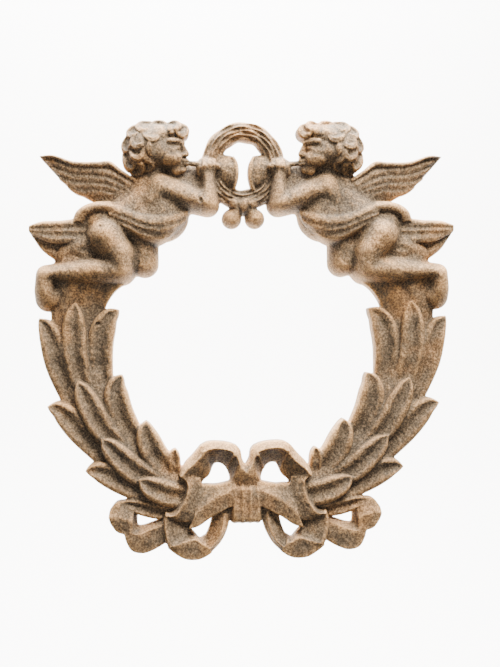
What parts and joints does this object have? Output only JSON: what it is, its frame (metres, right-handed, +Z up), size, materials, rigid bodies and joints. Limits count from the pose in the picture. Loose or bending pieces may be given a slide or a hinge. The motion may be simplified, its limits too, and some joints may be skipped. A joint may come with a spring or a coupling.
{
  "type": "angel wall plaque",
  "caption": "Cast iron wall plaque of winged putti blowing horns over a straw wreath, on an open laurel ring tied with a ribbon bow.",
  "frame": {"origin": "on the flat back, in the middle of the straw band just above the nail slot", "axes": "+Z up as it hangs, +Y out of the flat back into the wall, +X to the viewer's right"},
  "size_m": [0.319, 0.0315, 0.3278],
  "materials": {
    "weathered_iron": "sand-cast, weathered to a dry tan-brown with warm rust highs and grey-brown hollows"
  },
  "bodies": {
    "root": {"plaque_casting": "weathered_iron"}
  },
  "joints": []
}
